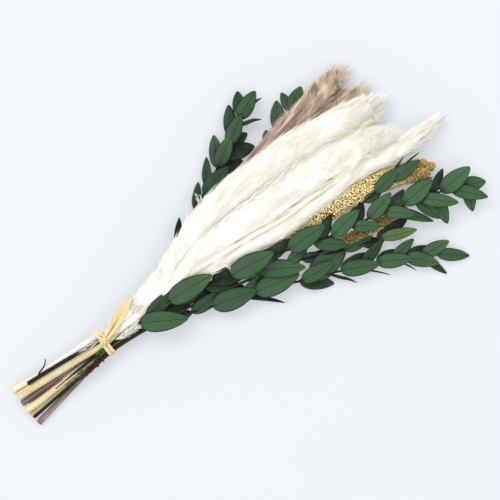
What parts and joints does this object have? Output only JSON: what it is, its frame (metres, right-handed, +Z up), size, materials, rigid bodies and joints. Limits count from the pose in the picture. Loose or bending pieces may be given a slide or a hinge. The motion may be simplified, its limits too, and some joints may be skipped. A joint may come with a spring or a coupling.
{
  "type": "dried flower bouquet",
  "caption": "Dried bouquet lying on its side: pale and taupe grass plumes, golden seed heads and green leafy stems, tied near the cut ends with a raffia band.",
  "frame": {"origin": "the surface that the bunch lies on, straight under the middle of the raffia band", "axes": "+X along the bunch from the cut stem ends to the plume tips, +Z up from the surface, +Y to the side of the taupe plumes"},
  "size_m": [0.4645, 0.2457, 0.0331],
  "materials": {
    "cream_stem": "dry smooth straw with fine lines along it",
    "mauve_stem": "dry straw, brownish mauve, lined along it",
    "dark_stem": "dry thin dark brown stalk",
    "leaf": "matte preserved leaf, dark green with a fine midrib, on a dark woody stem",
    "raffia": "flat dry palm fibre, straw coloured, with long fine lines",
    "seed": "clusters of small dry golden seeds",
    "white_hair": "soft bleached plume hair, cream white, matte",
    "taupe_hair": "soft undyed plume hair, mauve taupe to tan at the tips, matte"
  },
  "bodies": {
    "root": {"white_stem_1": "cream_stem", "white_stem_2": "cream_stem", "white_stem_3": "cream_stem", "white_stem_4": "cream_stem", "taupe_stem_1": "mauve_stem", "taupe_stem_2": "mauve_stem", "millet_stem_1": "dark_stem", "millet_stem_2": "dark_stem", "leafy_stem_1": "leaf", "leafy_stem_2": "leaf", "leafy_stem_3": "leaf", "leafy_stem_4": "leaf", "raffia_tie": "raffia", "millet_head_1": "seed", "millet_head_2": "seed", "white_plume_1": "white_hair", "white_plume_2": "white_hair", "white_plume_3": "white_hair", "white_plume_4": "white_hair", "taupe_plume_1": "taupe_hair", "taupe_plume_2": "taupe_hair"}
  },
  "joints": []
}
